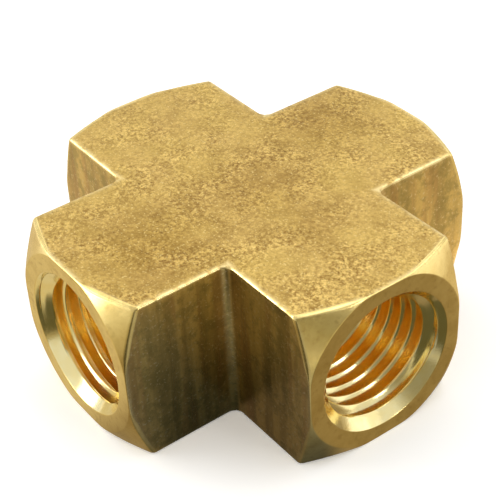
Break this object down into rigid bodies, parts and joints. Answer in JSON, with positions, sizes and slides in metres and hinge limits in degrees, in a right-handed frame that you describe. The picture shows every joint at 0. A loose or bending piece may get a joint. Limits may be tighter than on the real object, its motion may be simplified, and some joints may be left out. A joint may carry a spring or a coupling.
{
  "type": "female pipe cross",
  "caption": "Brass pipe cross: square-section arms with chamfered round ends, each with a countersunk female taper pipe thread opening into a common passage.",
  "frame": {"origin": "point where the axes of the four ports meet, at the middle of the body's height", "axes": "+Z along the bar's extrusion direction, square to all four ports; +X and +Y along two neighbouring port axes, pointing out of the ports"},
  "size_m": [0.0392, 0.0392, 0.0168],
  "materials": {
    "brass": "extruded and tumbled faces with a fine mottled grain, bright turned ends and threads"
  },
  "bodies": {
    "root": {"cross_body": "brass"}
  },
  "joints": []
}
